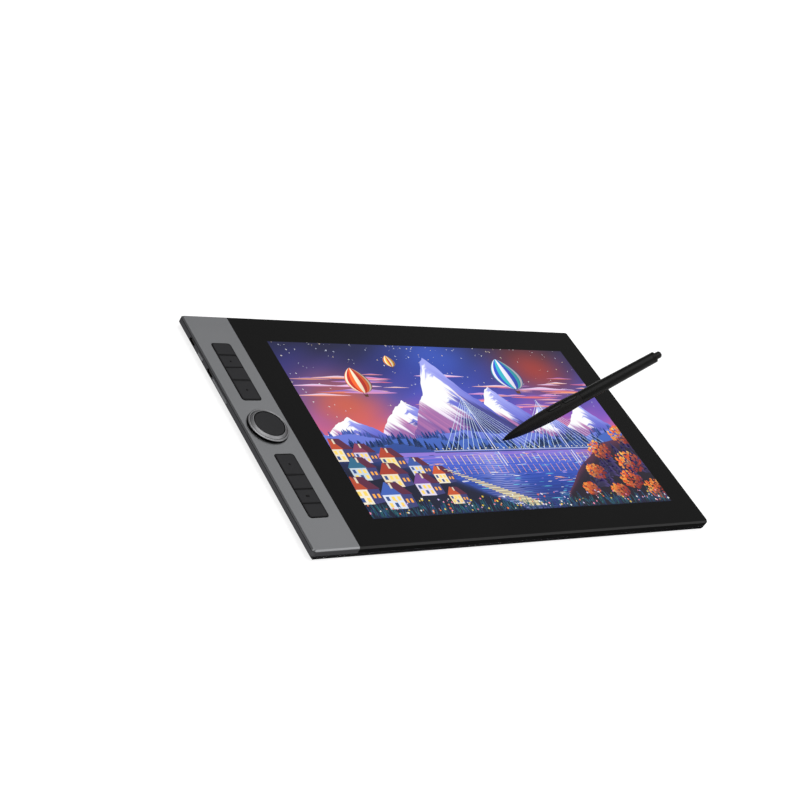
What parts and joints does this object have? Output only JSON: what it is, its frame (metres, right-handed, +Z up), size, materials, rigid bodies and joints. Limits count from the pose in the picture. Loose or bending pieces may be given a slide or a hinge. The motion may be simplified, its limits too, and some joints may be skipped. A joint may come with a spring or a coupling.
{
  "type": "graphics tablet with screen",
  "caption": "Flat pen display with a metal strip of keys and a dial down its left side, ports in the side wall, and a pen standing over the screen.",
  "frame": {"origin": "under the middle of the housing and the pen's box, on the surface that the two rubber strips rest on", "axes": "+X to the right along the long side, +Y to the back, +Z up out of the screen"},
  "size_m": [0.4403, 0.2466, 0.115],
  "materials": {
    "rear_shell": "anodised, fine blasted",
    "strip_aluminium": "anodised, fine blasted",
    "ring_aluminium": "turned and anodised",
    "shield_aluminium": "plain sheet",
    "foot_rubber": "matte",
    "black_moulding": "fine spark texture",
    "front_glass": "etched, printed black behind",
    "black_tape": "matte",
    "clear_sheet": "clear",
    "panel_glass": "polariser satin",
    "white_sheet": "matte",
    "pressed_steel": "zinc plated",
    "circuit_board": "solder mask",
    "chip_black": "moulded epoxy",
    "amber_flex": "satin film",
    "port_steel": "nickel plated",
    "white_moulding": "as moulded",
    "key_plastic": "fine spark texture",
    "touch_plastic": "satin",
    "magnet_ferrite": "sintered ferrite",
    "coil_copper": "enamelled wire",
    "pen_plastic": "soft-touch paint",
    "grip_rubber": "matte silicone",
    "nib_plastic": "as moulded",
    "button_plastic": "satin",
    "eraser_plastic": "satin"
  },
  "bodies": {
    "tablet": {"rear_cover": "rear_shell", "foot_strips": "foot_rubber", "mid_frame": "black_moulding", "control_strip": "strip_aluminium", "cover_glass": "front_glass", "mounting_tape": "black_tape", "optical_bond": "clear_sheet", "lcd_cell": "panel_glass", "film_stack": "white_sheet", "light_guide": "clear_sheet", "reflector": "white_sheet", "backlight_tray": "pressed_steel", "led_bar": "circuit_board", "pen_sensor_board": "circuit_board", "shield_plate": "shield_aluminium", "main_board": "circuit_board", "main_board_chips": "chip_black", "display_flex": "amber_flex", "key_flex": "amber_flex", "side_flex": "amber_flex", "side_board": "circuit_board", "usb_ports": "port_steel", "side_switches": "chip_black", "rocker_bracket": "white_moulding", "rocker_pin": "pressed_steel", "key_board": "circuit_board", "key_switches": "chip_black", "board_screws": "pressed_steel", "dial_hub": "white_moulding", "dial_washer": "white_moulding", "touch_carrier": "black_moulding", "touch_board": "circuit_board", "touch_disc": "touch_plastic", "hall_sensor": "chip_black"},
    "key_back_1": {"key_back_1": "key_plastic"},
    "key_back_2": {"key_back_2": "key_plastic"},
    "key_back_3": {"key_back_3": "key_plastic"},
    "key_back_4": {"key_back_4": "key_plastic"},
    "key_front_1": {"key_front_1": "key_plastic"},
    "key_front_2": {"key_front_2": "key_plastic"},
    "key_front_3": {"key_front_3": "key_plastic"},
    "key_front_4": {"key_front_4": "key_plastic"},
    "dial": {"dial_ring": "ring_aluminium", "dial_magnet": "magnet_ferrite"},
    "power_button": {"power_button": "strip_aluminium"},
    "brightness_rocker": {"brightness_rocker": "strip_aluminium"},
    "pen": {"pen_nose_cone": "pen_plastic", "pen_grip": "grip_rubber", "pen_barrel": "pen_plastic", "pen_tail_cap": "pen_plastic", "pen_core": "magnet_ferrite", "pen_coil": "coil_copper", "pen_pressure_sensor": "white_moulding", "pen_board": "circuit_board", "pen_switches": "chip_black", "pen_eraser_switch": "chip_black"},
    "pen_nib": {"pen_nib": "nib_plastic"},
    "pen_button_front": {"pen_button_front": "button_plastic"},
    "pen_button_rear": {"pen_button_rear": "button_plastic"},
    "pen_eraser": {"pen_eraser": "eraser_plastic"}
  },
  "joints": [
    {"name": "key_back_1_press", "type": "slide", "parent": "tablet", "child": "key_back_1", "axis": [0, 0, -1], "range_m": [0, 0.0005], "stiffness_N_per_m": 800, "springref_m": -0.0003},
    {"name": "key_back_2_press", "type": "slide", "parent": "tablet", "child": "key_back_2", "axis": [0, 0, -1], "range_m": [0, 0.0005], "stiffness_N_per_m": 800, "springref_m": -0.0003},
    {"name": "key_back_3_press", "type": "slide", "parent": "tablet", "child": "key_back_3", "axis": [0, 0, -1], "range_m": [0, 0.0005], "stiffness_N_per_m": 800, "springref_m": -0.0003},
    {"name": "key_back_4_press", "type": "slide", "parent": "tablet", "child": "key_back_4", "axis": [0, 0, -1], "range_m": [0, 0.0005], "stiffness_N_per_m": 800, "springref_m": -0.0003},
    {"name": "key_front_1_press", "type": "slide", "parent": "tablet", "child": "key_front_1", "axis": [0, 0, -1], "range_m": [0, 0.0005], "stiffness_N_per_m": 800, "springref_m": -0.0003},
    {"name": "key_front_2_press", "type": "slide", "parent": "tablet", "child": "key_front_2", "axis": [0, 0, -1], "range_m": [0, 0.0005], "stiffness_N_per_m": 800, "springref_m": -0.0003},
    {"name": "key_front_3_press", "type": "slide", "parent": "tablet", "child": "key_front_3", "axis": [0, 0, -1], "range_m": [0, 0.0005], "stiffness_N_per_m": 800, "springref_m": -0.0003},
    {"name": "key_front_4_press", "type": "slide", "parent": "tablet", "child": "key_front_4", "axis": [0, 0, -1], "range_m": [0, 0.0005], "stiffness_N_per_m": 800, "springref_m": -0.0003},
    {"name": "dial_turn", "type": "hinge", "parent": "tablet", "child": "dial", "pos_m": [-0.19795, -0.0009, 0.013], "axis": [0, 0, 1], "continuous": true},
    {"name": "power_press", "type": "slide", "parent": "tablet", "child": "power_button", "axis": [1, 0, 0], "range_m": [0, 0.0004], "stiffness_N_per_m": 1500, "springref_m": -0.0002},
    {"name": "rocker_tip", "type": "hinge", "parent": "tablet", "child": "brightness_rocker", "pos_m": [-0.2164, 0.0406, 0.00745], "axis": [0, 0, 1], "range_deg": [-1.8, 1.8], "stiffness_Nm_per_rad": 0.02},
    {"name": "pen_lift", "type": "slide", "parent": "tablet", "child": "pen", "axis": [0.7658, 0.0201, 0.6428], "range_m": [0, 0.06]},
    {"name": "nib_press", "type": "slide", "parent": "pen", "child": "pen_nib", "axis": [0.7658, 0.0201, 0.6428], "range_m": [0, 0.001], "stiffness_N_per_m": 1500, "springref_m": -0.0002},
    {"name": "pen_front_press", "type": "slide", "parent": "pen", "child": "pen_button_front", "axis": [0.64, -0.1225, -0.7586], "range_m": [0, 0.0005], "stiffness_N_per_m": 1200, "springref_m": -0.0002},
    {"name": "pen_rear_press", "type": "slide", "parent": "pen", "child": "pen_button_rear", "axis": [0.64, -0.1225, -0.7586], "range_m": [0, 0.0005], "stiffness_N_per_m": 1200, "springref_m": -0.0002},
    {"name": "eraser_press", "type": "slide", "parent": "pen", "child": "pen_eraser", "axis": [-0.7658, -0.0201, -0.6428], "range_m": [0, 0.0008], "stiffness_N_per_m": 1500, "springref_m": -0.0002}
  ]
}
